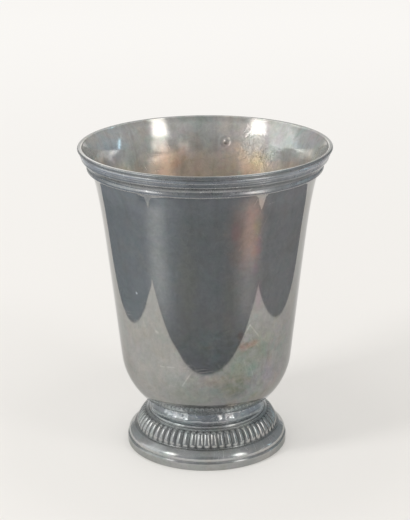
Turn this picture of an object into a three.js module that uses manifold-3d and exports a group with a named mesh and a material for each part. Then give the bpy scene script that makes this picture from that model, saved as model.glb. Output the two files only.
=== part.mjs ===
// Footed silver beaker: a tulip-shaped bowl with a reeded lip, soldered on a
// low hollow pedestal foot with a gadrooned border.
// Millimetres, +Z up, origin at the centre of the underside of the foot.

import * as THREE from 'three';
import { mergeVertices } from 'three/addons/utils/BufferGeometryUtils.js';
import Module from 'manifold-3d';

// ---------------------------------------------------------------- sizes (mm)

const HEIGHT = 105.0;            // underside of the foot to the top of the lip
const LIP_RADIUS = 41.9;         // widest point of the lip bead
const WALL = 0.8;                // thickness of the bowl's wall
const JOINT_Z = 15.25;           // soldered seam between foot and bowl

// bowl, outside
const WALL_Z0 = 32.0;            // the straight taper starts here
const WALL_R0 = 28.94;           // its radius there
const WALL_TAPER = 0.1085;       // radius gained for each mm of height
const FLARE_Z0 = 66.0;           // the wall starts to flare here
const FLARE = 1.33;              // radius the flare has added under the lip
const FLARE_POWER = 3.2;
const CURL_Z0 = 91.2;            // a last, quicker turn outwards starts here
const CURL = 0.235;              // radius it has added under the lip
const BODY_TOP_Z = 97.1;         // underside of the lip moulding
const BELLY_R = 22.5;            // rounding from the wall into the bottom
const BOTTOM_R = 12.0;           // tighter rounding towards the neck
const BELLY_END = 45.0;          // degrees below level where one follows the other

// lip moulding: bead at its foot, cove, two reeds, rolled lip
const COLLAR = { r: 38.2, z: 98.1, rad: 0.9 };
const COVE = { r: 38.95, z: 99.5 };
const REED_LOW = { r: 39.85, z: 101.65, rad: 0.9 };
const REED_HIGH = { r: 40.35, z: 103.0, rad: 0.85 };
const LIP = { r: LIP_RADIUS - 0.56, z: HEIGHT - 0.56, rad: 0.56 };
const LIP_INNER_R = 40.35;       // inside edge of the lip

// foot, outside
const BASE_R = 27.45;            // vertical base edge
const BASE_H = 2.6;
const OVOLO = { r: 25.4, z: 3.55, rad: 1.65 };   // round moulding on the base
const OVOLO_TOP = { r: 24.85, z: 6.15 };
const BAND_LOW = { r: 24.2, z: 6.5 };
const BAND_HIGH = { r: 21.3, z: 11.15 };
const BAND_BULGE = 0.55;         // crown of the gadrooned band
const FILLET = { r: 19.5, z: 12.15, rad: 0.32 };
const NECK_R = 16.4;             // where the neck meets the bowl
const SCOTIA_R = 19.05;          // outer end of the hollow curve of the neck
const SCOTIA_DEPTH = 2.9;
const FOOT_WALL = 0.9;
const RING_INNER_R = 25.5;       // inside of the flat ring the foot stands on

// gadroons
const GADROONS = 62;
const GADROON_RELIEF = 0.5;
const GADROON_STEPS = 2;         // segments around each gadroon

const SEGMENTS = 48;             // segments around the plain turned surfaces

// ------------------------------------------------------------------- helpers

const deg = Math.PI / 180;
const P = (r, z) => new THREE.Vector2(r, z);

// Points on a circular arc of a turned profile, angles in degrees from +R.
function arc(cr, cz, rad, a0, a1, n) {
  const pts = [];
  for (let i = 0; i <= n; i++) {
    const a = (a0 + (a1 - a0) * i / n) * deg;
    pts.push(P(cr + rad * Math.cos(a), cz + rad * Math.sin(a)));
  }
  return pts;
}

// Outside radius of the bowl's wall at a height.
function wallRadius(z) {
  const t = Math.max(0, (z - FLARE_Z0) / (BODY_TOP_Z - FLARE_Z0));
  const u = Math.max(0, (z - CURL_Z0) / (BODY_TOP_Z - CURL_Z0));
  return WALL_R0 + WALL_TAPER * (z - WALL_Z0) + FLARE * Math.pow(t, FLARE_POWER) + CURL * u * u;
}

// Moves an open profile sideways, to its left, by a distance.
function offset(points, d) {
  return points.map((p, i) => {
    const a = points[Math.max(0, i - 1)];
    const b = points[Math.min(points.length - 1, i + 1)];
    const t = b.clone().sub(a).normalize();
    return P(p.x - t.y * d, p.y + t.x * d);
  });
}

// A turned solid: revolves a profile about Z.
function turned(profile, segments) {
  const g = new THREE.LatheGeometry(profile, segments);
  g.rotateX(Math.PI / 2);
  g.deleteAttribute('normal');
  g.deleteAttribute('uv');
  return welded(g);
}

// Shares coincident vertices and drops triangles that have collapsed.
function welded(geometry) {
  const g = mergeVertices(geometry, 1e-4);
  const idx = g.index.array;
  const keep = [];
  for (let i = 0; i < idx.length; i += 3) {
    const [a, b, c] = [idx[i], idx[i + 1], idx[i + 2]];
    if (a !== b && b !== c && c !== a) keep.push(a, b, c);
  }
  if (volume(g.attributes.position, keep) < 0) {
    for (let i = 0; i < keep.length; i += 3) {
      [keep[i + 1], keep[i + 2]] = [keep[i + 2], keep[i + 1]];
    }
  }
  g.setIndex(keep);
  return g;
}

function volume(pos, idx) {
  const a = new THREE.Vector3(), b = new THREE.Vector3(), c = new THREE.Vector3();
  let v = 0;
  for (let i = 0; i < idx.length; i += 3) {
    a.fromBufferAttribute(pos, idx[i]);
    b.fromBufferAttribute(pos, idx[i + 1]);
    c.fromBufferAttribute(pos, idx[i + 2]);
    v += a.dot(b.cross(c)) / 6;
  }
  return v;
}

const wasm = await Module();
wasm.setup();

function solid(geometry) {
  return new wasm.Manifold(new wasm.Mesh({
    numProp: 3,
    vertProperties: new Float32Array(geometry.attributes.position.array),
    triVerts: new Uint32Array(geometry.index.array),
  }));
}

function geometryOf(manifold) {
  const m = manifold.getMesh();
  const g = new THREE.BufferGeometry();
  g.setAttribute('position', new THREE.BufferAttribute(new Float32Array(m.vertProperties), 3));
  g.setIndex(Array.from(m.triVerts));
  return g;
}

// ---------------------------------------------------------------------- bowl

// Outside, from the neck up to the lip.
const wallSlope = Math.atan(WALL_TAPER);
const bellyC = P(WALL_R0 - BELLY_R * Math.cos(wallSlope), WALL_Z0 + BELLY_R * Math.sin(wallSlope));
const kneeC = P(
  bellyC.x + (BELLY_R - BOTTOM_R) * Math.cos(BELLY_END * deg),
  bellyC.y - (BELLY_R - BOTTOM_R) * Math.sin(BELLY_END * deg));

// The bottom is flat inside the neck and rounded outside it.
const bottomStart = -Math.acos((NECK_R - kneeC.x) / BOTTOM_R) / deg;
const bottomCurve = arc(kneeC.x, kneeC.y, BOTTOM_R, bottomStart, -BELLY_END, 3);
bottomCurve[0].y = JOINT_Z;
const bellyCurve = arc(bellyC.x, bellyC.y, BELLY_R, -BELLY_END, -wallSlope / deg, 4).slice(1);
const wallCurve = [];
for (const z of [54, 74, 84, 90.5, 94.5, BODY_TOP_Z]) wallCurve.push(P(wallRadius(z), z));

const bodyOutside = [...bottomCurve, ...bellyCurve, ...wallCurve];

const lipOutside = [
  ...arc(COLLAR.r, COLLAR.z, COLLAR.rad, -70, 60, 2),
  P(COVE.r, COVE.z),
  ...arc(REED_LOW.r, REED_LOW.z, REED_LOW.rad, -50, 40, 2),
  ...arc(REED_HIGH.r, REED_HIGH.z, REED_HIGH.rad, -45, 50, 2),
  ...arc(LIP.r, LIP.z, LIP.rad, -70, 90, 3),
];

// Inside, from the lip down to the floor of the bowl.
const bodyInside = offset(bodyOutside, WALL).slice(1);
const throat = bodyInside[bodyInside.length - 1];          // inside, level with the collar
const throatSlope = (throat.x - bodyInside[bodyInside.length - 2].x)
  / (throat.y - bodyInside[bodyInside.length - 2].y);
const inLipTop = HEIGHT - 0.45;
function innerFlare(z) {
  const s = z - throat.y, full = inLipTop - throat.y;
  const bend = (LIP_INNER_R - throat.x - throatSlope * full) / (full * full);
  return throat.x + throatSlope * s + bend * s * s;
}
const inLip = [inLipTop, inLipTop - 2.4, inLipTop - 4.9].map((z) => P(innerFlare(z), z));
const floorZ = JOINT_Z + WALL;

const bowlProfile = [
  P(0, JOINT_Z),
  ...bodyOutside,
  ...lipOutside,
  ...inLip,
  ...bodyInside.reverse(),
  P(bottomCurve[0].x, floorZ),
  P(0, floorZ),
];

// ---------------------------------------------------------------------- foot

const ovolo = [
  ...arc(OVOLO.r, OVOLO.z, OVOLO.rad, -35, 50, 2),
  P(OVOLO_TOP.r, OVOLO_TOP.z),
];

const scotia = [];
for (let i = 0; i <= 4; i++) {
  const t = i / 4 * Math.PI / 2;
  scotia.push(P(
    SCOTIA_R - (SCOTIA_R - NECK_R) * Math.sin(t),
    JOINT_Z - SCOTIA_DEPTH * Math.cos(t)));
}

// The plain surface that the gadroons stand on, crowned between its two ends.
const bandDir = P(BAND_HIGH.r - BAND_LOW.r, BAND_HIGH.z - BAND_LOW.z).normalize();
const bandNormal = P(bandDir.y, -bandDir.x);
function bandPoint(t, lift) {
  const crown = BAND_BULGE * Math.sin(Math.PI * t) + lift;
  return P(
    BAND_LOW.r + (BAND_HIGH.r - BAND_LOW.r) * t + bandNormal.x * crown,
    BAND_LOW.z + (BAND_HIGH.z - BAND_LOW.z) * t + bandNormal.y * crown);
}

const footOutside = [
  P(RING_INNER_R, 0),
  P(BASE_R, 0),
  P(BASE_R, BASE_H - 0.3),
  P(BASE_R - 0.15, BASE_H),
  ...ovolo,
  bandPoint(0, 0), bandPoint(0.5, 0), bandPoint(1, 0),
  P(20.3, 11.75),
  ...arc(FILLET.r, FILLET.z, FILLET.rad, -20, 110, 2),
  ...scotia,
];
const footInside = [
  P(NECK_R - FOOT_WALL, JOINT_Z),
  P(NECK_R - FOOT_WALL + 0.1, JOINT_Z - 1.35),
  P(NECK_R - 0.1, JOINT_Z - SCOTIA_DEPTH - 0.15),
  P(SCOTIA_R - 1.45, JOINT_Z - SCOTIA_DEPTH - FOOT_WALL),
  P(SCOTIA_R - 0.2, JOINT_Z - SCOTIA_DEPTH - FOOT_WALL - 0.25),
  P(BAND_HIGH.r - 1.0, BAND_HIGH.z - 0.75),
  P(BAND_LOW.r - 1.05, BAND_LOW.z - 0.35),
  P(RING_INNER_R, BASE_H - 0.4),
];
const footProfile = [...footOutside, ...footInside];
footProfile.push(footProfile[0].clone());

// The gadrooned border: a ring whose outer face swells into rounded lobes.
const gadroonFace = [0.03, 0.3, 0.7, 0.97];
const gadroonProfile = [
  ...gadroonFace.map((t) => bandPoint(t, 0.02)),
  bandPoint(0.9, -0.45), bandPoint(0.1, -0.45),
];
gadroonProfile.push(gadroonProfile[0].clone());
const gadroonRing = turned(gadroonProfile, GADROONS * GADROON_STEPS);
{
  const pos = gadroonRing.attributes.position;
  for (let i = 0; i < pos.count; i++) {
    const x = pos.getX(i), y = pos.getY(i), z = pos.getZ(i);
    const r = Math.hypot(x, y), a = Math.atan2(y, x);
    const along = (P(r, z).sub(P(BAND_LOW.r, BAND_LOW.z))).dot(bandDir)
      / P(BAND_LOW.r, BAND_LOW.z).distanceTo(P(BAND_HIGH.r, BAND_HIGH.z));
    const up = (P(r, z).sub(P(BAND_LOW.r, BAND_LOW.z))).dot(bandNormal);
    if (up < -0.1) continue;
    const lobe = Math.abs(Math.cos(a * GADROONS / 2));
    const ends = Math.pow(Math.max(0, Math.sin(Math.PI * along)), 0.5);
    const lift = GADROON_RELIEF * lobe * ends;
    const k = (r + bandNormal.x * lift) / r;
    pos.setXYZ(i, x * k, y * k, z + bandNormal.y * lift);
  }
}
const footSolid = solid(turned(footProfile, SEGMENTS)).add(solid(gadroonRing));

// --------------------------------------------------------------------- model

function piece(name, geometry, color, roughness) {
  const material = new THREE.MeshStandardMaterial({ color, roughness, metalness: 1.0 });
  const mesh = new THREE.Mesh(geometry, material);
  mesh.name = name;
  return mesh;
}

const beaker = new THREE.Group();
beaker.add(piece('bowl', turned(bowlProfile, SEGMENTS), 0xa9a9a6, 0.16));
beaker.add(piece('foot', geometryOf(footSolid), 0x9b9b98, 0.22));

export default beaker;
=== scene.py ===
import math

import bpy
import numpy as np
from mathutils import Matrix


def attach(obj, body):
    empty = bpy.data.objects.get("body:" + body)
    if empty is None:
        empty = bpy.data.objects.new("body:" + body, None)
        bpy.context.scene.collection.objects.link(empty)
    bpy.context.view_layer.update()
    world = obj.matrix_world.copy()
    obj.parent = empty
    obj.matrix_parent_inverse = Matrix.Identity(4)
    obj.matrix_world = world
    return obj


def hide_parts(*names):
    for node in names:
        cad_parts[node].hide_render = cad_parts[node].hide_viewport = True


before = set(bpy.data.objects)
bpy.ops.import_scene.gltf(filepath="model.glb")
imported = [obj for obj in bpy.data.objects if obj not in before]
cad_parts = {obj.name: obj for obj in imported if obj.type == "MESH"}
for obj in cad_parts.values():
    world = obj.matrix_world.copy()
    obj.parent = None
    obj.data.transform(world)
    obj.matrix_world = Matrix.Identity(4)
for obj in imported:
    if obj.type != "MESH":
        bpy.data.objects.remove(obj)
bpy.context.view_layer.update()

MM = 0.001

# ------------------------------------------------------------------ sizes, mm
HEIGHT = 105.0
LIP_RADIUS = 41.9
WALL = 0.8
JOINT_Z = 15.25

WALL_Z0, WALL_R0, WALL_TAPER = 32.0, 28.94, 0.1085
FLARE_Z0, FLARE, FLARE_POWER = 66.0, 1.33, 3.2
CURL_Z0, CURL = 91.2, 0.235
BODY_TOP_Z = 97.1
BELLY_R, BOTTOM_R, BELLY_END = 22.5, 12.0, 45.0

COLLAR = (38.2, 98.1, 0.9)
REED_LOW = (39.85, 101.65, 0.9)
REED_HIGH = (40.35, 103.0, 0.85)
LIP = (LIP_RADIUS - 0.56, HEIGHT - 0.56, 0.56)
LIP_INNER_R = 40.35

BASE_R, BASE_H = 27.45, 2.6
OVOLO, OVOLO_TOP = (25.4, 3.55, 1.65), (24.85, 6.15)
BAND_LOW, BAND_HIGH, BAND_BULGE = (24.2, 6.5), (21.3, 11.15), 0.36
FILLET = (19.5, 12.15, 0.32)
NECK_R, SCOTIA_R, SCOTIA_DEPTH = 16.4, 19.05, 2.9
FOOT_WALL, RING_INNER_R = 0.9, 25.5
GADROONS, GADROON_RELIEF = 62, 0.45

rng = np.random.default_rng(7)


# -------------------------------------------------------------- profile tools
def arc(cr, cz, rad, a0, a1, n):
    a = np.radians(np.linspace(a0, a1, n + 1))
    return np.stack([cr + rad * np.cos(a), cz + rad * np.sin(a)], 1)


def wall_radius(z, curl=CURL):
    t = np.maximum(0, (z - FLARE_Z0) / (BODY_TOP_Z - FLARE_Z0))
    u = np.maximum(0, (z - CURL_Z0) / (BODY_TOP_Z - CURL_Z0))
    return WALL_R0 + WALL_TAPER * (z - WALL_Z0) + FLARE * t ** FLARE_POWER + curl * u * u


def resample(path, step):
    d = np.r_[0, np.cumsum(np.linalg.norm(np.diff(path, axis=0), axis=1))]
    n = max(2, int(d[-1] / step) + 1)
    s = np.linspace(0, d[-1], n)
    return np.stack([np.interp(s, d, path[:, k]) for k in (0, 1)], 1)


def soften(path, step, sigma):
    """Rounds the corners of a finely stepped open profile, ends kept."""
    half = int(4 * sigma / step) + 1
    k = np.exp(-0.5 * (np.arange(-half, half + 1) * step / sigma) ** 2)
    k /= k.sum()
    pad = np.concatenate([2 * path[0] - path[half:0:-1], path, 2 * path[-1] - path[-2:-half - 2:-1]])
    return np.stack([np.convolve(pad[:, c], k, "valid") for c in (0, 1)], 1)


def thin(path, turn_deg, longest):
    """Keeps the points where the profile has turned or run far enough."""
    keep, turned, run = [0], 0.0, 0.0
    for i in range(1, len(path) - 1):
        a, b = path[i] - path[i - 1], path[i + 1] - path[i]
        run += np.hypot(*a)
        turned += abs(math.degrees(math.atan2(a[0] * b[1] - a[1] * b[0], a @ b)))
        if turned >= turn_deg or run >= longest:
            keep.append(i)
            turned = run = 0.0
    keep.append(len(path) - 1)
    return path[keep]


def fine(path, sigma=0.09, turn_deg=6.0, longest=2.2):
    return thin(soften(resample(np.asarray(path, float), 0.02), 0.02, sigma), turn_deg, longest)


def waves(az, z, table):
    """Slow unevenness of hand-worked metal, in mm."""
    out = np.zeros_like(az)
    for amp, m, phase, length, shift in table:
        out = out + amp * np.sin(m * az + phase) * np.cos(2 * np.pi * z / length + shift)
    return out


# ----------------------------------------------------------------- mesh maker
def turned_mesh(name, profile, segments, shape=None, closed=False, fields=None):
    """Revolves a profile (r, z in mm). shape(az, r, z) returns moved r, z.
    fields: name -> per-point function (az, r, z) written as a float attribute."""
    prof = np.asarray(profile, float)
    n = len(prof)
    az = np.arange(segments) * 2 * np.pi / segments
    on_axis = prof[:, 0] < 1e-6
    A, I = np.meshgrid(az, np.arange(n))
    R, Z = prof[I, 0], prof[I, 1]
    R0, Z0 = R.copy(), Z.copy()
    if shape is not None:
        R, Z = shape(A, R, Z)
    index = np.zeros((n, segments), int)
    verts, extra = [], {k: [] for k in (fields or {})}
    count = 0
    values = {k: f(A, R0, Z0) for k, f in (fields or {}).items()}
    for i in range(n):
        if on_axis[i]:
            verts.append([[0, 0, Z[i].mean()]])
            index[i] = count
            count += 1
            for k in extra:
                extra[k].append(values[k][i, :1])
        else:
            verts.append(np.stack([R[i] * np.sin(az), -R[i] * np.cos(az), Z[i]], 1))
            index[i] = count + np.arange(segments)
            count += segments
            for k in extra:
                extra[k].append(values[k][i])
    verts = np.concatenate([np.asarray(v, float) for v in verts]) * MM
    length = np.r_[0, np.cumsum(np.linalg.norm(np.diff(prof, axis=0), axis=1))]
    if closed:
        total = length[-1] + np.linalg.norm(prof[0] - prof[-1])
    else:
        total = length[-1]
    vv = np.r_[length, total] / total
    faces, uvs, rows = [], [], []
    last = n if closed else n - 1
    for i in range(last):
        k = (i + 1) % n
        for j in range(segments):
            jn = (j + 1) % segments
            u0, u1 = j / segments, (j + 1) / segments
            corners = [(index[i, j], u0, vv[i]), (index[i, jn], u1, vv[i]),
                       (index[k, jn], u1, vv[i + 1]), (index[k, j], u0, vv[i + 1])]
            if on_axis[i]:
                corners = [corners[0], corners[2], corners[3]]
            elif on_axis[k]:
                corners = [corners[0], corners[1], corners[2]]
            faces.append([c[0] for c in corners])
            uvs.extend([(c[1], c[2]) for c in corners])
            rows.append(i)
    mesh = bpy.data.meshes.new(name)
    mesh.from_pydata(verts.tolist(), [], [[int(v) for v in f] for f in faces])
    uv = mesh.uv_layers.new(name="OFBake")
    uv.data.foreach_set("uv", np.asarray(uvs, np.float32).ravel() * 0.992 + 0.004)
    for k in extra:
        at = mesh.attributes.new(k, "FLOAT", "POINT")
        at.data.foreach_set("value", np.concatenate(extra[k]).astype(np.float32))
    mesh.polygons.foreach_set("use_smooth", np.ones(len(faces), bool))
    mesh.update()
    obj = bpy.data.objects.new(name, mesh)
    bpy.context.scene.collection.objects.link(obj)
    return obj, np.asarray(rows)


# ----------------------------------------------------------------------- bowl
slope = math.atan(WALL_TAPER)
belly_c = (WALL_R0 - BELLY_R * math.cos(slope), WALL_Z0 + BELLY_R * math.sin(slope))
knee_c = (belly_c[0] + (BELLY_R - BOTTOM_R) * math.cos(math.radians(BELLY_END)),
          belly_c[1] - (BELLY_R - BOTTOM_R) * math.sin(math.radians(BELLY_END)))

wall_z = np.linspace(WALL_Z0, BODY_TOP_Z, 120)
bottom_start = -math.degrees(math.acos((NECK_R - knee_c[0]) / BOTTOM_R))
bottom = np.concatenate([
    arc(*knee_c, BOTTOM_R, bottom_start, -BELLY_END, 40),
    arc(*belly_c, BELLY_R, -BELLY_END, -math.degrees(slope), 50)[1:],
])
bottom[0, 1] = JOINT_Z
outside = np.concatenate([bottom, np.stack([wall_radius(wall_z), wall_z], 1)[1:]])
plain = np.concatenate([bottom, np.stack([wall_radius(wall_z, 0.0), wall_z], 1)[1:]])
reeds = np.concatenate([
    [[37.98, 97.22]],
    arc(*COLLAR, -66, 62, 24),
    [[38.86, 99.35], [39.15, 99.85], [39.58, 100.36]],
    arc(*REED_LOW, -58, 38, 20),
    arc(*REED_HIGH, -42, 48, 20),
])
lip_out = np.concatenate([
    soften(resample(reeds, 0.02), 0.02, 0.17),
    arc(*LIP, -60, 90, 30),
    [[40.98, 105.0]],
    arc(LIP_INNER_R + 0.52, HEIGHT - 0.5, 0.5, 90, 170, 14),
])
throat_r, throat_z, throat_slope = wall_radius(BODY_TOP_Z, 0.0) - 0.8236, BODY_TOP_Z, 0.2453
full = HEIGHT - 0.55 - throat_z
bend = (LIP_INNER_R - throat_r - throat_slope * full) / full ** 2
s = np.linspace(full, 0.3, 40)
lip_in = np.stack([throat_r + throat_slope * s + bend * s * s, throat_z + s], 1)
t = np.gradient(plain, axis=0)
t /= np.linalg.norm(t, axis=1)[:, None]
inside = (plain + WALL * np.stack([-t[:, 1], t[:, 0]], 1))[::-1]
floor_z = JOINT_Z + WALL

shell = fine(np.concatenate([outside, lip_out, lip_in, inside[1:]]))
bowl_profile = np.concatenate([
    [[0, JOINT_Z], [6.0, JOINT_Z], [11.0, JOINT_Z], [15.0, JOINT_Z]],
    shell,
    [[13.0, floor_z], [9.5, floor_z], [5.0, floor_z], [2.0, floor_z], [0, floor_z]],
])

BODY_WAVES = [
    (0.050, 2, 0.4, 900.0, 0.3), (0.024, 3, 2.1, 160.0, 0.9), (0.016, 5, 1.0, 70.0, 2.0),
    (0.011, 7, 3.3, 46.0, 0.7), (0.007, 11, 5.1, 31.0, 4.0), (0.005, 16, 0.9, 23.0, 1.3),
]
UNDER_WAVES = [(0.06, 7, 0.5, 7.0, 0.3), (0.045, 12, 2.2, 5.0, 1.1), (0.030, 19, 4.1, 4.2, 0.7)]
# shallow dents: azimuth from the front in degrees, height, depth (+ out), spread, all mm
DENTS = [(168.3, 96.3, 0.16, 0.95), (150.0, 93.0, 0.09, 1.5), (143.0, 96.5, -0.07, 1.3),
         (137.0, 91.0, 0.08, 1.8), (155.0, 99.0, -0.05, 1.2), (161.0, 90.0, 0.05, 2.2),
         (-36.0, 62.0, 0.035, 1.4), (-31.3, 65.0, 0.03, 0.8), (14.0, 52.0, -0.03, 3.2),
         (29.0, 38.0, 0.05, 3.0), (-22.0, 40.0, -0.04, 3.6), (41.0, 78.0, 0.03, 3.0)]
for _ in range(46):
    DENTS.append((rng.uniform(-180, 180), rng.uniform(24, 96), rng.uniform(-0.022, 0.022), rng.uniform(0.9, 2.6)))


def bowl_shape(az, r, z):
    d = waves(az, z, BODY_WAVES) * np.clip((z - JOINT_Z - 0.5) / 12.0, 0, 1)
    d = d + waves(az, z, UNDER_WAVES) * np.exp(-((z - 18.2) / 1.9) ** 2)
    for a0, z0, depth, spread in DENTS:
        da = (np.degrees(az) - a0 + 180) % 360 - 180
        q = ((np.radians(da) * 33.0) ** 2 + (z - z0) ** 2) / spread ** 2
        d = d + depth * np.exp(-q) * np.clip((99.5 - z) / 2.0, 0, 1)
    # the wall turns out a little more on the right, under the lip
    da = (np.degrees(az) - 27.0 + 180) % 360 - 180
    d = d + 0.26 * np.exp(-(da / 10.0) ** 2 - ((z - 96.6) / 5.6) ** 2) * np.clip((98.5 - z) / 1.5, 0, 1)
    # and a little less on the left
    for a0, depth in ((24.0, 0.075), (38.5, 0.075)):
        da = (np.degrees(az) + a0 + 180) % 360 - 180
        d = d + depth * np.exp(-(da / 7.5) ** 2 - ((z - 93.0) / 3.5) ** 2) * np.clip((98.5 - z) / 1.5, 0, 1)
    d = np.where(r > 17.0, d, 0)
    return r + d, z


def bowl_cavity(az, r, z):
    """Where polish never reaches: the notches between the reeds of the lip."""
    out = np.zeros_like(r)
    for cr, cz, w, amount in ((38.85, 99.45, 0.46, 0.30), (41.6, 104.2, 0.28, 0.80), (38.25, 97.3, 0.5, 0.50)):
        out = np.maximum(out, amount * np.exp(-((r - cr) ** 2 + (z - cz) ** 2) / w ** 2))
    return out


bowl, bowl_rows = turned_mesh("beaker_bowl", bowl_profile, 288, bowl_shape, fields={"cavity": bowl_cavity})
lip_top = int(np.argmax(bowl_profile[:, 1]))
bowl_inner_faces = bowl_rows >= lip_top + 2


# ----------------------------------------------------------------------- foot
band_dir = np.array(BAND_HIGH) - np.array(BAND_LOW)
band_len = np.linalg.norm(band_dir)
band_dir = band_dir / band_len
band_n = np.array([band_dir[1], -band_dir[0]])
tb = np.linspace(0, 1, 60)
band = (np.array(BAND_LOW) + tb[:, None] * band_len * band_dir
        + (BAND_BULGE * np.sin(np.pi * tb))[:, None] * band_n)
q = np.linspace(0, np.pi / 2, 40)
ovolo = np.concatenate([arc(*OVOLO, -24, 50, 30), [OVOLO_TOP]])
scotia = np.stack([SCOTIA_R - (SCOTIA_R - NECK_R) * np.sin(q), JOINT_Z - SCOTIA_DEPTH * np.cos(q)], 1)
foot_out = np.concatenate([
    [[RING_INNER_R, 0.0], [BASE_R - 0.12, 0.0], [BASE_R, 0.14], [BASE_R, BASE_H - 0.3], [BASE_R - 0.14, BASE_H - 0.02]],
    ovolo,
    [[24.45, 6.22]],
    band,
    [[20.9, 11.45], [20.3, 11.72], [19.98, 11.82]],
    arc(*FILLET, -25, 125, 14),
    scotia,
])
foot_in = np.array([
    [NECK_R - FOOT_WALL, JOINT_Z], [NECK_R - FOOT_WALL + 0.05, JOINT_Z - 1.1], [NECK_R - 0.45, JOINT_Z - 2.4],
    [NECK_R + 0.2, JOINT_Z - 3.3], [SCOTIA_R - 1.45, JOINT_Z - SCOTIA_DEPTH - FOOT_WALL],
    [SCOTIA_R - 0.2, JOINT_Z - SCOTIA_DEPTH - FOOT_WALL - 0.3], [BAND_HIGH[0] - 1.0, BAND_HIGH[1] - 0.8],
    [BAND_LOW[0] - 1.05, BAND_LOW[1] - 0.35], [RING_INNER_R - 0.15, BASE_H + 0.3], [RING_INNER_R, BASE_H - 0.6],
    [RING_INNER_R, 0.3],
])
foot_profile = np.concatenate([
    fine(foot_out, 0.045, 8.0, 0.55),
    fine(foot_in, 0.25, 14.0, 2.0),
])


def band_place(r, z):
    """Along the gadrooned band (0 to 1) and height above its chord."""
    pr, pz = r - BAND_LOW[0], z - BAND_LOW[1]
    return (pr * band_dir[0] + pz * band_dir[1]) / band_len, pr * band_n[0] + pz * band_n[1]


def lobe_at(az):
    return np.abs(np.cos(az * GADROONS / 2))


def band_ends(t):
    lo, hi = np.clip(t / 0.20, 0, 1), np.clip((1 - t) / 0.24, 0, 1)
    return lo * lo * (3 - 2 * lo) * np.sqrt(np.clip(1 - (1 - hi) ** 2, 0, 1))


FOOT_WAVES = [(0.030, 2, 1.1, 400.0, 0.2), (0.018, 3, 0.2, 60.0, 1.0), (0.010, 7, 2.2, 24.0, 0.6),
              (0.007, 17, 0.9, 7.0, 0.4), (0.005, 29, 2.4, 4.0, 1.7)]
# lumps of solder along the seam under the bowl
SEAM_WAVES = [(0.070, 11, 0.3, 4.4, 0.2), (0.060, 19, 1.9, 2.8, 1.0), (0.044, 31, 4.0, 2.0, 2.2), (0.026, 47, 5.2, 1.5, 0.5)]


def foot_shape(az, r, z):
    t, up = band_place(r, z)
    on = (up > -0.12) & (t > 0) & (t < 1)
    wob = 1 + 0.10 * np.sin(az * 5 + 0.7) + 0.06 * np.sin(az * 13 + 2.0)
    lift = np.where(on, GADROON_RELIEF * wob * lobe_at(az) * band_ends(t), 0)
    d = waves(az, z, FOOT_WAVES) * np.clip(z / 3.0, 0, 1) * np.clip((JOINT_Z - z) / 2.0, 0, 1)
    seam = np.clip((z - 12.7) / 1.0, 0, 1) * np.clip((JOINT_Z - z) / 0.12, 0, 1) * (r > NECK_R - 0.2)
    d = d + waves(az, z, SEAM_WAVES) * seam
    return r + lift * band_n[0] + d, z + lift * band_n[1]


def foot_cavity(az, r, z):
    t, up = band_place(r, z)
    on = (up > -0.12) & (t > -0.02) & (t < 1.02)
    valley = np.clip(1.05 - lobe_at(az) * (0.30 + 0.70 * band_ends(np.clip(t, 0, 1))) * 1.45, 0, 1)
    valley = np.maximum(valley, 0.40 * np.clip((0.10 - t) / 0.08, 0, 1))
    out = np.where(on, valley, 0)
    for cr, cz, w, amount in ((24.7, 6.12, 0.48, 0.72), (20.0, 11.85, 0.26, 0.8), (20.75, 11.5, 0.5, 0.6), (27.1, 2.65, 0.28, 0.55)):
        out = np.maximum(out, amount * np.exp(-((r - cr) ** 2 + (z - cz) ** 2) / w ** 2))
    return out


foot, foot_rows = turned_mesh("beaker_foot", foot_profile, GADROONS * 14, foot_shape, closed=True,
                              fields={"cavity": foot_cavity})


# ------------------------------------------------------------------ materials
class Nodes:
    """Small helper to write node trees as expressions."""

    def __init__(self, tree):
        self.tree, self.x = tree, 0

    def add(self, kind, **props):
        n = self.tree.nodes.new(kind)
        n.location = (self.x, 0)
        self.x += 60
        for k, v in props.items():
            setattr(n, k, v)
        return n

    def put(self, socket, value):
        if isinstance(value, bpy.types.NodeSocket):
            self.tree.links.new(value, socket)
        else:
            socket.default_value = value

    def math(self, op, a, b=0.0, clamp=False, c=0.0):
        n = self.add("ShaderNodeMath", operation=op, use_clamp=clamp)
        for i, v in enumerate((a, b, c)[:len(n.inputs)]):
            self.put(n.inputs[i], v)
        return n.outputs[0]

    def vec(self, x, y, z):
        n = self.add("ShaderNodeCombineXYZ")
        for i, v in enumerate((x, y, z)):
            self.put(n.inputs[i], v)
        return n.outputs[0]

    def noise(self, vector, scale, detail=4.0, rough=0.55, distortion=0.0):
        n = self.add("ShaderNodeTexNoise")
        self.put(n.inputs["Vector"], vector)
        n.inputs["Scale"].default_value = scale
        n.inputs["Detail"].default_value = detail
        n.inputs["Roughness"].default_value = rough
        n.inputs["Distortion"].default_value = distortion
        return n.outputs["Fac"]

    def ramp(self, value, lo, hi, out_lo=0.0, out_hi=1.0):
        n = self.add("ShaderNodeMapRange", interpolation_type="SMOOTHSTEP")
        self.put(n.inputs["Value"], value)
        n.inputs["From Min"].default_value = lo
        n.inputs["From Max"].default_value = hi
        n.inputs["To Min"].default_value = out_lo
        n.inputs["To Max"].default_value = out_hi
        return n.outputs["Result"]

    def mix(self, fac, a, b, mode="MIX"):
        n = self.add("ShaderNodeMix", data_type="RGBA", blend_type=mode)
        n.clamp_factor = True
        for name, v in (("Factor_Float", fac), ("A_Color", a), ("B_Color", b)):
            sock = next(i for i in n.inputs if i.identifier == name)
            if isinstance(v, tuple):
                v = tuple(v) + (1.0,) if len(v) == 3 else v
            self.put(sock, v)
        return next(o for o in n.outputs if o.identifier == "Result_Color")


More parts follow.
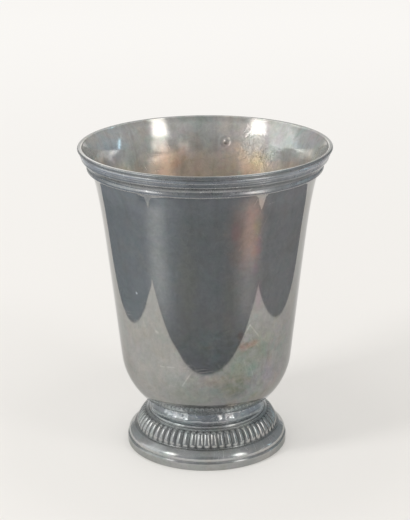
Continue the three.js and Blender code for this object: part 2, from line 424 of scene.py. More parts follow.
def silver(name, base, dull, rough, metal, stains_and_painted_light=(), streaks=0.0, grime=(0.05, 0.047, 0.042), grime_amount=0.9,
           cloud=(0.35, 0.75), film=0.5, film_zone=None, lip=None, under=None, marks=(), swirls=(), edge=(0.7, 0.7, 0.7)):
    """Old polished silver: cloudy tarnish with its thin-film colours, stains
    and patches of painted light and shade at given places, painted glints on
    the lip moulding, a painted lift on the underside, rubbing marks, fine
    scratches and dark matter left in the hollows."""
    mat = bpy.data.materials.new(name)
    mat.use_nodes = True
    tree = mat.node_tree
    tree.nodes.clear()
    k = Nodes(tree)
    out = k.add("ShaderNodeOutputMaterial")
    bsdf = k.add("ShaderNodeBsdfPrincipled")
    tree.links.new(bsdf.outputs[0], out.inputs["Surface"])
    bsdf.inputs["Metallic"].default_value = metal
    bsdf.inputs["Specular Tint"].default_value = tuple(edge) + (1.0,)
    tc = k.add("ShaderNodeTexCoord")
    scale = k.add("ShaderNodeVectorMath", operation="SCALE")
    tree.links.new(tc.outputs["Object"], scale.inputs[0])
    scale.inputs["Scale"].default_value = 1000.0
    pos = scale.outputs[0]
    xyz = k.add("ShaderNodeSeparateXYZ")
    tree.links.new(pos, xyz.inputs[0])
    x, y, z = xyz.outputs
    az = k.math("ARCTAN2", x, k.math("MULTIPLY", y, -1.0))
    around = k.math("MULTIPLY", az, 33.0)

    # cloudy tarnish, three sizes
    big = k.noise(pos, 0.045, 3.0, 0.5, 0.4)
    mid = k.noise(pos, 0.16, 5.0, 0.6, 0.8)
    small = k.noise(pos, 0.55, 5.0, 0.65, 0.5)
    tiny = k.noise(pos, 1.9, 4.0, 0.65)
    tarnish = k.ramp(k.math("ADD", k.math("MULTIPLY", big, 0.62), k.math("MULTIPLY", mid, 0.38)), *cloud)
    colour = k.mix(tarnish, base, dull)
    mottle = k.math("ADD", k.math("MULTIPLY", small, 0.5), k.math("MULTIPLY", tiny, 0.5))
    colour = k.mix(k.ramp(mottle, 0.36, 0.64), colour, k.mix(1.0, colour, (1.14, 1.14, 1.13), "MULTIPLY"))

    # thin-film colours of the tarnish: brown, olive, lilac and teal drifts
    zone = film
    if film_zone is not None:
        a0, z0, aw, zw, low = film_zone
        da = k.math("DIVIDE", k.math("SUBTRACT", az, math.radians(a0)), math.radians(aw))
        dz = k.math("DIVIDE", k.math("SUBTRACT", z, z0), zw)
        d = k.math("SQRT", k.math("ADD", k.math("MULTIPLY", da, da), k.math("MULTIPLY", dz, dz)))
        zone = k.ramp(k.math("ADD", d, k.math("MULTIPLY", k.math("SUBTRACT", mid, 0.5), 1.2)), 0.45, 1.25, film, low)
    for seed, scale_, tint in ((0.0, 0.075, (1.06, 0.97, 0.90)), (31.0, 0.13, (0.94, 0.99, 0.93)),
                               (67.0, 0.11, (1.00, 0.93, 1.00)), (97.0, 0.15, (0.88, 1.00, 0.98)),
                               (131.0, 0.30, (0.84, 0.84, 0.80)), (151.0, 0.34, (1.12, 1.10, 1.05))):
        shift = k.add("ShaderNodeVectorMath", operation="ADD")
        tree.links.new(pos, shift.inputs[0])
        shift.inputs[1].default_value = (seed, seed * 0.7, seed * 1.3)
        f = k.ramp(k.noise(shift.outputs[0], scale_, 4.0, 0.6, 1.2), 0.47, 0.66)
        colour = k.mix(k.math("MULTIPLY", f, zone), colour, tint, "MULTIPLY")

    # stains and painted light or shade, place by place: azimuth, height, their half-widths, tint, amount, raggedness
    wob = k.math("SUBTRACT", k.noise(pos, 0.35, 5.0, 0.65), 0.5)
    for a0, z0, aw, zw, tint, amount, ragged in stains_and_painted_light:
        da = k.math("WRAP", k.math("SUBTRACT", az, math.radians(a0)), math.pi, c=-math.pi)
        da = k.math("DIVIDE", da, math.radians(aw))
        dz = k.math("DIVIDE", k.math("SUBTRACT", z, z0), zw)
        d = k.math("SQRT", k.math("ADD", k.math("MULTIPLY", da, da), k.math("MULTIPLY", dz, dz)))
        d = k.math("ADD", d, k.math("MULTIPLY", wob, ragged))
        colour = k.mix(k.ramp(d, 0.15, 1.15, amount, 0.0), colour, tint, "MULTIPLY")

    # runs down the wall
    if streaks:
        run = k.noise(k.vec(k.math("MULTIPLY", around, 0.42), k.math("MULTIPLY", z, 0.035), 0.0), 1.0, 4.0, 0.6, 0.6)
        colour = k.mix(k.math("MULTIPLY", k.ramp(run, 0.50, 0.74), streaks), colour, (0.76, 0.72, 0.68), "MULTIPLY")
        run2 = k.noise(k.vec(k.math("MULTIPLY", around, 0.8), k.math("MULTIPLY", z, 0.05), 7.0), 1.0, 3.0, 0.5, 0.3)
        colour = k.mix(k.math("MULTIPLY", k.ramp(run2, 0.56, 0.76), streaks * 0.8), colour, (1.2, 1.19, 1.15), "MULTIPLY")

    # specks
    speck = k.ramp(k.noise(pos, 0.9, 2.0, 0.5), 0.735, 0.80)
    colour = k.mix(k.math("MULTIPLY", speck, 0.35), colour, (0.45, 0.43, 0.42), "MULTIPLY")

    # fine scratches: long thin noise in three directions, thresholded
    scratch = None
    for angle, seed, lo in ((68.0, 3.0, 0.675), (-52.0, 11.0, 0.69), (8.0, 23.0, 0.70)):
        ca, sa = math.cos(math.radians(angle)), math.sin(math.radians(angle))
        along = k.math("ADD", k.math("MULTIPLY", around, ca), k.math("MULTIPLY", z, sa))
        across = k.math("SUBTRACT", k.math("MULTIPLY", z, ca), k.math("MULTIPLY", around, sa))
        n = k.noise(k.vec(k.math("MULTIPLY", along, 0.10), k.math("MULTIPLY", across, 3.6), seed), 1.0, 1.0, 0.5, 0.15)
        line = k.ramp(n, lo, lo + 0.055)
        scratch = line if scratch is None else k.math("MAXIMUM", scratch, line)
    patches = k.ramp(k.noise(pos, 0.055, 2.0, 0.5), 0.40, 0.62)
    scratch = k.math("MULTIPLY", scratch, patches)
    rub = k.noise(k.vec(k.math("MULTIPLY", around, 0.06), k.math("MULTIPLY", z, 2.6), 5.0), 1.0, 3.0, 0.6)
    colour = k.mix(k.math("MULTIPLY", scratch, 0.45), colour, (1.5, 1.48, 1.45), "MULTIPLY")

    # single scratches: azimuth and height of both ends, half-width in mm, strength
    for a0, z0, a1, z1, width, amount in marks:
        du, dv = math.radians(a1 - a0) * 30.0, z1 - z0
        u = k.math("MULTIPLY", k.math("SUBTRACT", az, math.radians(a0)), 30.0)
        v = k.math("SUBTRACT", z, z0)
        q = k.math("ADD", k.math("MULTIPLY", u, du / (du * du + dv * dv)), k.math("MULTIPLY", v, dv / (du * du + dv * dv)),
                   clamp=True)
        eu = k.math("SUBTRACT", u, k.math("MULTIPLY", q, du))
        ev = k.math("SUBTRACT", v, k.math("MULTIPLY", q, dv))
        d = k.math("SQRT", k.math("ADD", k.math("MULTIPLY", eu, eu), k.math("MULTIPLY", ev, ev)))
        d = k.math("ADD", d, k.math("MULTIPLY", k.math("SUBTRACT", tiny, 0.5), 0.5))
        colour = k.mix(k.ramp(d, 0.0, width, amount, 0.0), colour, (1.42, 1.41, 1.39), "MULTIPLY")

    # dull moulding of the lip: its start and end heights, tint and roughness
    dullness = None
    if lip is not None:
        dullness = k.math("MULTIPLY", k.ramp(z, lip[0], lip[1]), k.ramp(z, 104.80, 104.97, 1.0, 0.0))
        ring = k.noise(k.vec(k.math("MULTIPLY", around, 0.16), k.math("MULTIPLY", z, 0.9), 41.0), 1.0, 3.0, 0.5, 0.4)
        colour = k.mix(dullness, colour, k.mix(1.0, colour, lip[2], "MULTIPLY"))
        colour = k.mix(k.math("MULTIPLY", dullness, k.ramp(ring, 0.36, 0.70)), colour, (1.16, 1.15, 1.16), "MULTIPLY")
        # painted glints: small random spots on the lip moulding made much lighter
        glint = k.ramp(k.noise(pos, 0.75, 3.0, 0.5), 0.66, 0.74)
        colour = k.mix(k.math("MULTIPLY", k.math("MULTIPLY", dullness, glint), 0.8), colour, (1.7, 1.7, 1.68), "MULTIPLY")

    # painted light: the underside made paler and bluer to lighten its shade
    if under is not None:
        colour = k.mix(k.ramp(z, under[0], under[1], 1.0, 0.0), colour, under[3], "MULTIPLY")

    # dark matter in the hollows
    cav = k.add("ShaderNodeAttribute", attribute_name="cavity", attribute_type="GEOMETRY").outputs["Fac"]
    dirt = k.math("MULTIPLY", k.ramp(cav, 0.25, 0.95), k.ramp(mid, 0.25, 0.6, 0.7, 1.0))
    dirt = k.math("MULTIPLY", dirt, grime_amount)
    colour = k.mix(dirt, colour, grime)
    tree.links.new(colour, bsdf.inputs["Base Color"])

    r = k.math("ADD", rough, k.math("MULTIPLY", k.math("SUBTRACT", mid, 0.45), 0.03))
    r = k.math("ADD", r, k.math("MULTIPLY", k.math("SUBTRACT", small, 0.5), 0.03))
    r = k.math("ADD", r, k.math("MULTIPLY", scratch, 0.16))
    if dullness is not None:
        r = k.math("ADD", r, k.math("MULTIPLY", dullness, lip[3]))
    if under is not None:
        r = k.math("ADD", r, k.ramp(z, under[0], under[1], under[2], 0.0))
    r = k.math("ADD", r, k.math("MULTIPLY", dirt, 0.35), clamp=True)
    tree.links.new(r, bsdf.inputs["Roughness"])

    if dullness is not None:
        rub = k.math("MULTIPLY", rub, k.math("SUBTRACT", 1.0, dullness))
    height = k.math("ADD", k.math("MULTIPLY", scratch, -0.5), k.math("MULTIPLY", rub, 0.10))
    height = k.math("ADD", height, k.math("MULTIPLY", tiny, 0.05))
    bump = k.add("ShaderNodeBump")
    bump.inputs["Strength"].default_value = 0.08
    bump.inputs["Distance"].default_value = 0.00006
    tree.links.new(height, bump.inputs["Height"])
    # small dents and scuffs: azimuth, height, radius in mm, depth in mm, ripple or noise
    relief = None
    for a0, z0, size, depth, ripples in swirls:
        u = k.math("WRAP", k.math("SUBTRACT", az, math.radians(a0)), math.pi, c=-math.pi)
        u = k.math("MULTIPLY", u, 37.0 / size)
        v = k.math("DIVIDE", k.math("SUBTRACT", z, z0), size)
        d = k.math("SQRT", k.math("ADD", k.math("MULTIPLY", u, u), k.math("MULTIPLY", v, v)))
        form = k.math("COSINE", k.math("MULTIPLY", d, 5.2)) if ripples else k.noise(pos, 0.8, 3.0, 0.5, 0.6)
        form = k.math("MULTIPLY", k.math("MULTIPLY", form, k.ramp(d, 0.2, 1.4, 1.0, 0.0)), depth)
        relief = form if relief is None else k.math("ADD", relief, form)
    last = bump
    if relief is not None:
        last = k.add("ShaderNodeBump")
        last.inputs["Strength"].default_value = 1.0
        last.inputs["Distance"].default_value = 0.001
        tree.links.new(relief, last.inputs["Height"])
        tree.links.new(bump.outputs[0], last.inputs["Normal"])
    tree.links.new(last.outputs[0], bsdf.inputs["Normal"])
    return mat


OUT_STAINS_AND_PAINTED_LIGHT = [
    (-11.0, 68.0, 8.0, 22.0, (1.05, 1.02, 0.93), 0.8, 1.6),
    (-44.25, 61.35, 0.9, 0.5, (2.3, 2.3, 2.3), 1.0, 0.0),
    # painted highlights along the top of the lip, strongest left and right of the front, weaker round the back
    (-52.0, 105.0, 40.0, 0.24, (2.4, 2.4, 2.4), 1.0, 0.0),
    (26.0, 105.0, 22.0, 0.24, (2.2, 2.2, 2.2), 1.0, 0.0),
    (180.0, 105.0, 110.0, 0.24, (1.3, 1.3, 1.3), 1.0, 0.0),
    # all round: a lighter band over the reeds and a slightly lighter one below the collar
    (0.0, 103.0, 720.0, 1.25, (1.36, 1.36, 1.39), 1.0, 0.1),
    (0.0, 95.5, 720.0, 6.5, (1.14, 1.14, 1.15), 1.0, 0.3),
    # painted shade: darker, bluish patches left of the front under the lip, deepening the dark reflection there
    (-31.0, 95.0, 6.0, 6.0, (0.84, 0.85, 0.86), 0.9, 0.4),
    (-30.0, 96.0, 5.0, 3.0, (0.72, 0.75, 0.79), 1.0, 0.2),
    (-24.8, 95.0, 6.2, 3.6, (0.72, 0.74, 0.77), 1.0, 0.3),
    (24.5, 68.5, 7.5, 8.0, (0.80, 0.82, 0.84), 0.95, 0.5),
    # all round: a thin darker line between the collar and the lower reed
    (0.0, 100.1, 720.0, 0.6, (0.78, 0.79, 0.80), 1.0, 0.0),
    # painted highlights: the reeds made much lighter at the left and right sides
    (78.0, 100.3, 22.0, 1.5, (2.7, 2.7, 2.7), 1.0, 0.2),
    (-78.0, 100.3, 22.0, 1.5, (2.7, 2.7, 2.7), 1.0, 0.2),
    # painted light: the moulding made lighter towards the right side, and less so towards the left
    (58.0, 102.3, 34.0, 2.6, (1.60, 1.59, 1.59), 1.0, 0.1),
    (50.0, 98.6, 34.0, 1.2, (1.22, 1.22, 1.22), 1.0, 0.1),
    (-60.0, 102.6, 24.0, 1.6, (1.35, 1.35, 1.38), 1.0, 0.2),
    (21.5, 84.5, 12.5, 15.0, (1.25, 0.96, 0.85), 0.95, 0.8),
    (25.5, 93.0, 7.0, 6.0, (1.12, 0.97, 0.92), 0.7, 0.5),
    (28.0, 71.5, 3.0, 3.0, (1.10, 0.95, 1.05), 0.8, 0.6),
    (31.5, 62.0, 3.0, 7.0, (1.07, 0.92, 1.00), 0.9, 0.6),
    (19.0, 88.5, 4.0, 5.0, (0.90, 0.95, 1.00), 0.8, 1.2),
    (27.5, 78.0, 4.0, 6.0, (1.10, 0.94, 0.90), 0.8, 1.2),
    (27.5, 86.0, 3.2, 4.5, (0.98, 1.05, 0.86), 0.8, 1.2),
    (15.5, 84.5, 3.5, 4.5, (1.08, 0.92, 0.98), 0.8, 1.2),
    (29.5, 79.5, 2.5, 5.0, (1.05, 0.91, 1.00), 0.8, 0.8),
    (23.2, 44.4, 5.2, 2.0, (1.02, 0.76, 0.70), 0.95, 1.4),
    (30.5, 44.9, 6.0, 1.6, (1.06, 0.78, 0.72), 0.9, 1.0),
    (21.0, 48.5, 2.6, 2.8, (0.98, 0.78, 0.72), 0.8, 0.9),
    (21.0, 37.0, 13.0, 8.0, (0.86, 0.92, 0.82), 0.85, 2.0),
    (30.0, 35.5, 6.0, 3.5, (0.86, 1.02, 1.00), 0.85, 1.6),
    (4.0, 32.5, 11.0, 3.0, (1.04, 0.93, 0.88), 0.8, 1.4),
    (18.0, 29.0, 12.0, 4.0, (0.84, 0.87, 0.78), 0.85, 1.6),
    (44.0, 33.0, 7.0, 6.0, (1.02, 0.95, 1.06), 0.8, 0.8),
    (14.0, 60.0, 7.0, 22.0, (1.06, 1.00, 0.92), 0.7, 0.6),
    # painted shade: a darker band low on the bowl, right of the front
    (27.0, 18.6, 14.0, 2.6, (0.70, 0.71, 0.74), 0.9, 0.4),
    (36.0, 44.0, 12.0, 9.0, (0.93, 0.97, 0.88), 0.8, 1.2),
    (-12.0, 27.0, 20.0, 5.0, (0.95, 0.97, 0.90), 0.7, 1.2),
    # painted shade: the lower wall made darker on the right and at the front
    (28.0, 36.0, 42.0, 16.0, (0.76, 0.775, 0.79), 0.9, 0.9),
    (2.0, 26.0, 48.0, 11.0, (0.69, 0.715, 0.725), 0.9, 0.8),
]
OUT_MARKS = [
    (26.9, 51.9, 23.9, 49.1, 0.42, 0.8), (26.9, 51.9, 33.7, 47.2, 0.36, 0.7), (-10.2, 35.5, -15.9, 30.8, 0.42, 0.7),
    (-31.0, 36.85, -27.7, 36.8, 0.34, 0.6), (-25.5, 37.0, -21.0, 37.2, 0.32, 0.6), (27.7, 59.4, 26.0, 52.9, 0.34, 0.45),
    (19.7, 44.6, 24.2, 46.0, 0.36, 0.6), (25.1, 43.4, 35.0, 45.2, 0.30, 0.4), (-44.4, 61.5, -44.1, 61.2, 0.75, 0.9),
    (-31.7, 49.3, -31.0, 49.0, 0.85, 0.7), (29.2, 36.4, 31.4, 33.2, 0.34, 0.5), (24.0, 39.8, 27.2, 33.6, 0.30, 0.4),
]
FOOT_TINTS_AND_PAINTED_LIGHT = [
    # painted light: the neck and the dish round it made paler and bluer all round
    (0.0, 13.9, 720.0, 2.4, (1.36, 1.39, 1.44), 1.0, 0.3),
    # darker at the bottom of the base band
    (0.0, 1.2, 720.0, 1.6, (0.86, 0.86, 0.85), 1.0, 0.2),
    # painted light: a lighter ring on the ovolo
    (0.0, 4.3, 720.0, 1.5, (1.20, 1.20, 1.20), 1.0, 0.5),
]
IN_STAINS_AND_PAINTED_LIGHT = [
    # painted light: a lighter patch low on the back wall, near the right lamp's reflection
    (138.0, 92.5, 9.0, 7.0, (1.34, 1.35, 1.33), 0.9, 1.2),
    (160.5, 99.0, 5.0, 6.0, (1.12, 1.08, 1.02), 0.9, 0.8),
    (117.0, 100.5, 16.0, 7.0, (0.99, 1.05, 1.09), 0.9, 0.6),
    (-123.0, 100.0, 12.0, 8.0, (1.05, 1.06, 1.07), 0.9, 0.6),
    (148.0, 91.0, 7.0, 4.0, (0.95, 1.00, 0.88), 0.9, 1.4),
    (163.0, 95.5, 9.0, 2.6, (1.06, 0.95, 0.91), 0.9, 1.4),
    (140.0, 94.5, 6.0, 4.0, (0.95, 1.02, 1.02), 0.9, 1.2),
    (-166.0, 92.0, 6.0, 5.0, (1.03, 0.95, 0.92), 0.8, 1.2),
    # painted highlight along the rim's inner edge
    (0.0, 105.0, 720.0, 0.5, (1.35, 1.35, 1.35), 1.0, 0.0),
    # painted light: a lighter patch low on the back wall, under the right lamp's reflection
    (157.0, 91.0, 13.0, 7.0, (1.24, 1.24, 1.23), 0.95, 0.8),
    (-118.0, 96.2, 14.0, 4.2, (0.76, 0.79, 0.85), 0.95, 0.4),
    # a darker band just under the rim, round the back
    (180.0, 104.1, 62.0, 1.3, (0.80, 0.80, 0.80), 1.0, 0.2),
    # painted light: a lighter patch under the left lamp's reflection
    (-157.5, 92.3, 7.0, 3.4, (1.28, 1.26, 1.24), 0.95, 0.6),
    (168.6, 96.5, 2.4, 1.6, (0.80, 0.78, 0.76), 0.9, 0.5),
    (180.0, 86.0, 62.0, 11.0, (1.04, 0.88, 0.77), 1.0, 0.5),
    (-157.0, 90.0, 12.0, 9.0, (1.07, 0.93, 0.86), 0.9, 0.8),
    (152.0, 90.0, 14.0, 7.0, (1.02, 0.95, 0.88), 0.9, 0.9),
    (160.0, 93.0, 10.0, 3.0, (1.00, 0.97, 0.88), 0.8, 1.0),
    (-120.0, 97.0, 20.0, 10.0, (0.95, 0.99, 1.05), 0.9, 0.5),
    (125.0, 97.0, 20.0, 10.0, (0.99, 1.00, 1.02), 0.9, 0.5),
]
bowl_out = silver("silver_bowl_outside", (0.375, 0.375, 0.37), (0.325, 0.33, 0.325), 0.055, 0.86, OUT_STAINS_AND_PAINTED_LIGHT,
                  streaks=0.22, film=0.75, film_zone=(24.0, 36.0, 42.0, 20.0, 0.30),
                  lip=(97.25, 97.65, (0.86, 0.885, 0.92), 0.22), under=(20.4, 22.2, 0.12, (1.75, 1.84, 1.94)), marks=OUT_MARKS)
bowl_in = silver("silver_bowl_inside", (0.63, 0.62, 0.605), (0.54, 0.525, 0.51), 0.11, 0.66, IN_STAINS_AND_PAINTED_LIGHT,
                 streaks=0.45, film=0.6, swirls=[(168.4, 96.7, 2.1, 0.17, True), (154.0, 95.5, 7.0, 0.16, False), (139.0, 93.0, 5.0, 0.12, False)])
foot_mat = silver("silver_foot", (0.44, 0.45, 0.455), (0.35, 0.36, 0.365), 0.14, 0.86, FOOT_TINTS_AND_PAINTED_LIGHT,
                  grime=(0.085, 0.09, 0.092), grime_amount=0.85, cloud=(0.32, 0.70), film=0.4,
                  swirls=[(a, 14.7, 2.2, 0.24, False) for a in (-50.0, -41.0, -32.0, -23.0, 13.0, 23.0, 33.0, 43.0, 53.0)])

bowl.data.materials.append(bowl_out)
bowl.data.materials.append(bowl_in)
bowl.data.polygons.foreach_set("material_index", bowl_inner_faces.astype(np.int32))
foot.data.materials.append(foot_mat)

for piece, node, slot in ((bowl, "bowl", "bowl_silver"), (foot, "foot", "foot_silver")):
    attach(piece, "root")
    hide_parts(node)


# ---------------------------------------------------------------------- stage
# What the mirror-like silver sees: a white sheet under it that ends a hand's
# breadth away in front and at the sides, darker surroundings beyond, painted
# on the floor as a glow that only mirrored rays see.
EDGE = 0.9                                                  # softness of the sheet's edge, mm
LEFT_X, LEFT_Y, LEFT_BOW = 114.0, 15.0, 0.0020              # edges bow outwards towards the back
RIGHT_X, RIGHT_Y, RIGHT_BOW = 118.0, -20.0, 0.0019
FRONT_Y, FRONT_BOW = -79.5, 0.0004
GLOWS = [(-122.0, -93.0, 62.0, 46.0, (0.276, 0.268, 0.251)), (114.0, -104.0, 60.0, 46.0, (0.325, 0.282, 0.256))]

floor_mesh = bpy.data.meshes.new("floor")
S = 4.0
floor_mesh.from_pydata([(-S, -S, 0), (S, -S, 0), (S, S, 0), (-S, S, 0)], [], [(0, 1, 2, 3)])
floor = bpy.data.objects.new("floor", floor_mesh)
floor.location.z = -0.00005
bpy.context.scene.collection.objects.link(floor)
fm = bpy.data.materials.new("pale_floor")
fm.use_nodes = True
fm.node_tree.nodes.clear()
k = Nodes(fm.node_tree)
fo = k.add("ShaderNodeOutputMaterial")
fd = k.add("ShaderNodeBsdfDiffuse")
fe = k.add("ShaderNodeEmission")
fg = k.add("ShaderNodeEmission")
add = k.add("ShaderNodeAddShader")
pick = k.add("ShaderNodeMixShader")
link = fm.node_tree.links.new
link(fd.outputs[0], add.inputs[0])
link(fe.outputs[0], add.inputs[1])
link(add.outputs[0], pick.inputs[1])
link(fg.outputs[0], pick.inputs[2])
link(pick.outputs[0], fo.inputs["Surface"])
tc = k.add("ShaderNodeTexCoord")
sx = k.add("ShaderNodeSeparateXYZ")
link(tc.outputs["Object"], sx.inputs[0])
fx = k.math("MULTIPLY", sx.outputs[0], 1000.0)
fy = k.math("MULTIPLY", sx.outputs[1], 1000.0)


def bow(value, centre, amount):
    d = k.math("SUBTRACT", value, centre)
    return k.math("MULTIPLY", k.math("MULTIPLY", d, d), amount)


in_left = k.math("ADD", k.math("ADD", fx, LEFT_X), bow(fy, LEFT_Y, LEFT_BOW))
in_right = k.math("ADD", k.math("SUBTRACT", RIGHT_X, fx), bow(fy, RIGHT_Y, RIGHT_BOW))
in_front = k.math("SUBTRACT", k.math("SUBTRACT", fy, FRONT_Y), bow(fx, 0.0, FRONT_BOW))
inside_by = k.math("MINIMUM", k.math("MINIMUM", in_left, in_right), in_front)
white = k.ramp(inside_by, -EDGE, EDGE)
lp = k.add("ShaderNodeLightPath")
glossy, seen = lp.outputs["Is Glossy Ray"], lp.outputs["Is Camera Ray"]
k.put(pick.inputs[0], k.math("MULTIPLY", glossy, k.math("SUBTRACT", 1.0, white)))
dark = k.mix(k.ramp(fx, -120.0, -30.0), (0.285, 0.327, 0.372), (0.160, 0.181, 0.206))
dark = k.mix(k.ramp(fx, 30.0, 130.0), dark, (0.262, 0.270, 0.294))
# painted shadow: a darker line in the surroundings along the sheet's edge
rim = k.ramp(inside_by, -4.0, 0.0)
dark = k.mix(k.math("MULTIPLY", rim, 0.30), dark, (0.06, 0.065, 0.07))
for gx, gy, gw, gh, tint in GLOWS:
    u = k.math("DIVIDE", k.math("SUBTRACT", fx, gx), gw)
    v = k.math("DIVIDE", k.math("SUBTRACT", fy, gy), gh)
    d = k.math("SQRT", k.math("ADD", k.math("MULTIPLY", u, u), k.math("MULTIPLY", v, v)))
    dark = k.mix(k.ramp(d, 0.0, 1.0, 1.0, 0.0), dark, k.mix(1.0, dark, tint, "ADD"))
k.put(fg.inputs["Color"], dark)
# painted shade: the floor's colour darker towards the front and lighter towards the back
pale = k.mix(k.ramp(fy, -250.0, 900.0), (0.838, 0.819, 0.793), (0.92, 0.908, 0.895))
# painted light: the floor's colour lighter within 26 to 70 mm of the foot's axis, lifting the shade round the foot
out_by = k.math("SQRT", k.math("ADD", k.math("MULTIPLY", fx, fx), k.math("MULTIPLY", fy, fy)))
pale = k.mix(k.ramp(out_by, 26.0, 70.0, 1.0, 0.0), pale, k.mix(1.0, pale, (1.09, 1.09, 1.09), "MULTIPLY"))
# painted shadow: in mirrored rays the floor is darker towards the right
pale = k.mix(k.math("MULTIPLY", glossy, k.ramp(fx, 30.0, 120.0)), pale, k.mix(1.0, pale, (0.88, 0.88, 0.88), "MULTIPLY"))
k.put(fd.inputs["Color"], pale)
# painted light: the floor glows, seen straight on more towards the back, and in mirrored rays behind the beaker, a
# little less on the right
fe.inputs["Color"].default_value = (1.0, 0.985, 0.97, 1.0)
lift = k.math("ADD", k.math("MULTIPLY", seen, k.ramp(fy, 50.0, 900.0, 0.0, 0.08)),
              k.math("MULTIPLY", k.math("MULTIPLY", glossy, k.ramp(fx, 20.0, 90.0, 1.0, 0.8)), k.ramp(fy, 20.0, 150.0, 0.0, 0.25)))
k.put(fe.inputs["Strength"], lift)
floor.data.materials.append(fm)

# the room as the silver mirrors it: azimuth from the front, elevation, half
# sizes and softness in degrees, lean, and brightness of its light panels
PANELS = [
    (49.9, 42.5, 8.7, 15.0, 4.0, 6.0, 0.0105, (2.5, 2.45, 2.36)),
    (49.9, 10.0, 8.2, 18.0, 4.0, 7.0, 0.0, (1.10, 1.04, 0.97)),
    (-59.2, 43.0, 9.6, 12.5, 4.0, 5.0, -0.0105, (2.5, 2.45, 2.36)),
    (-56.5, 14.0, 8.5, 18.0, 5.0, 7.0, 0.0, (0.72, 0.70, 0.66)),
    (-90.0, 20.0, 20.0, 30.0, 9.0, 9.0, 0.0, (0.60, 0.61, 0.60)),
    (23.0, 11.5, 5.5, 2.0, 1.0, 1.0, 0.0, (0.45, 0.42, 0.39)),
    (101.5, 15.5, 0.9, 8.0, 0.8, 5.0, 0.0, (1.6, 2.4, 2.8)),
]
# added where a second mirroring inside the bowl looks: azimuth, half-width, brightness
DEEP = [(70.0, 34.0, (0.95, 0.88, 0.80)), (-82.0, 30.0, (0.55, 0.50, 0.45)), (12.0, 14.0, (0.40, 0.40, 0.38))]
world = bpy.data.worlds.new("studio")
bpy.context.scene.world = world
world.use_nodes = True
world.node_tree.nodes.clear()
k = Nodes(world.node_tree)
wo = k.add("ShaderNodeOutputWorld")
bg = k.add("ShaderNodeBackground")
world.node_tree.links.new(bg.outputs[0], wo.inputs["Surface"])
tc = k.add("ShaderNodeTexCoord")
sx = k.add("ShaderNodeSeparateXYZ")
world.node_tree.links.new(tc.outputs["Generated"], sx.inputs[0])
dx, dy, dz = sx.outputs
daz = k.math("MULTIPLY", k.math("ARCTAN2", dx, k.math("MULTIPLY", dy, -1.0)), 180 / math.pi)
delv = k.math("MULTIPLY", k.math("ARCSINE", dz), 180 / math.pi)
room = k.mix(k.ramp(delv, 20.0, 70.0), (0.34, 0.35, 0.355), (0.38, 0.385, 0.385))
room = k.mix(k.ramp(daz, 70.0, 120.0), room, (0.27, 0.30, 0.32))
lp = k.add("ShaderNodeLightPath")
deep = k.math("GREATER_THAN", lp.outputs["Glossy Depth"], 1.5)
behind = k.math("MULTIPLY", k.ramp(dy, 0.86, 0.985), k.math("SUBTRACT", 1.0, k.math("MULTIPLY", deep, 0.9)))
room = k.mix(behind, room, (1.10, 1.09, 1.07))
for a0, hw, tint in DEEP:
    u = k.math("MULTIPLY", deep, k.ramp(k.math("ABSOLUTE", k.math("SUBTRACT", daz, a0)), hw * 0.4, hw, 1.0, 0.0))
    room = k.mix(u, room, k.mix(1.0, room, tint, "ADD"))
above = k.math("MAXIMUM", k.math("SUBTRACT", delv, 20.0), 0.0)
above = k.math("MULTIPLY", above, above)
front = k.math("MULTIPLY", k.ramp(k.math("ABSOLUTE", daz), 8.0, 26.0, 1.0, 0.0), k.ramp(delv, 50.0, 75.0, 1.0, 0.0))
room = k.mix(front, room, k.mix(1.0, room, (0.50, 0.52, 0.54), "MULTIPLY"))
for a0, e0, hw, hh, soft, soft_el, lean, bright in PANELS:
    off = k.math("SUBTRACT", daz, k.math("ADD", a0, k.math("MULTIPLY", above, lean)))
    u = k.ramp(k.math("ABSOLUTE", off), hw - soft, hw + soft, 1.0, 0.0)
    v = k.ramp(k.math("ABSOLUTE", k.math("SUBTRACT", delv, e0)), hh - soft_el, hh + soft_el, 1.0, 0.0)
    room = k.mix(k.math("MULTIPLY", u, v), room, k.mix(1.0, room, bright, "ADD"))
light = k.mix(lp.outputs["Is Glossy Ray"], (0.92, 0.913, 0.897), room)
light = k.mix(lp.outputs["Is Camera Ray"], light, (0.955, 0.935, 0.915))
k.put(bg.inputs["Color"], light)
bg.inputs["Strength"].default_value = 1.0
world.cycles.sampling_method = "NONE"


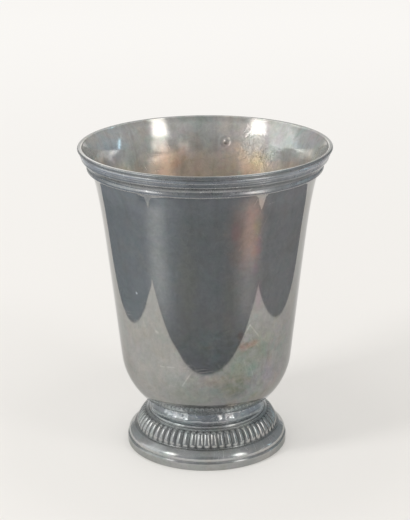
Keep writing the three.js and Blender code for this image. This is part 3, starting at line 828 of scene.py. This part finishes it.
def lamp(name, az, el, dist, w, h, power, colour=(1, 1, 1)):
    data = bpy.data.lights.new(name, "AREA")
    data.shape = "RECTANGLE"
    data.size, data.size_y = w, h
    data.energy = power
    data.color = colour
    ob = bpy.data.objects.new(name, data)
    a, e = math.radians(az), math.radians(el)
    p = np.array([math.sin(a) * math.cos(e), -math.cos(a) * math.cos(e), math.sin(e)]) * dist + [0, 0, 0.08]
    zdir = (p - [0, 0, 0.08]) / dist
    xdir = np.cross([0, 0, 1], zdir)
    xdir /= np.linalg.norm(xdir)
    ydir = np.cross(zdir, xdir)
    ob.matrix_world = Matrix(((xdir[0], ydir[0], zdir[0], p[0]), (xdir[1], ydir[1], zdir[1], p[1]),
                              (xdir[2], ydir[2], zdir[2], p[2]), (0, 0, 0, 1)))
    bpy.context.scene.collection.objects.link(ob)
    ob.visible_camera = False
    ob.visible_glossy = False
    return ob


lamp("lamp_right", 50, 37, 0.75, 0.16, 0.16, 0.45)
lamp("lamp_left", -58, 36, 0.75, 0.16, 0.16, 1.3)

# --------------------------------------------------------------------- camera
F_PX, IMG_H = 1524.46, 520.0
PITCH, ROLL = math.radians(18.4577), math.radians(-0.3943)
cam_data = bpy.data.cameras.new("camera")
cam_data.lens = F_PX * 36.0 / IMG_H
cam_data.sensor_width = 36.0
cam_data.sensor_height = 36.0
cam_data.clip_start, cam_data.clip_end = 0.01, 50.0
cam = bpy.data.objects.new("camera", cam_data)
R = np.array([1.0, 0, 0])
U = np.array([0, math.sin(PITCH), math.cos(PITCH)])
B = -np.array([0, math.cos(PITCH), -math.sin(PITCH)])
c, s_ = math.cos(ROLL), math.sin(ROLL)
R2, U2 = c * R + s_ * U, c * U - s_ * R
loc = np.array([-0.25, -486.28, 227.09]) * MM
cam.matrix_world = Matrix(((R2[0], U2[0], B[0], loc[0]), (R2[1], U2[1], B[1], loc[1]),
                           (R2[2], U2[2], B[2], loc[2]), (0, 0, 0, 1)))
bpy.context.scene.collection.objects.link(cam)
bpy.context.scene.camera = cam
bpy.context.scene.view_settings.view_transform = "Standard"
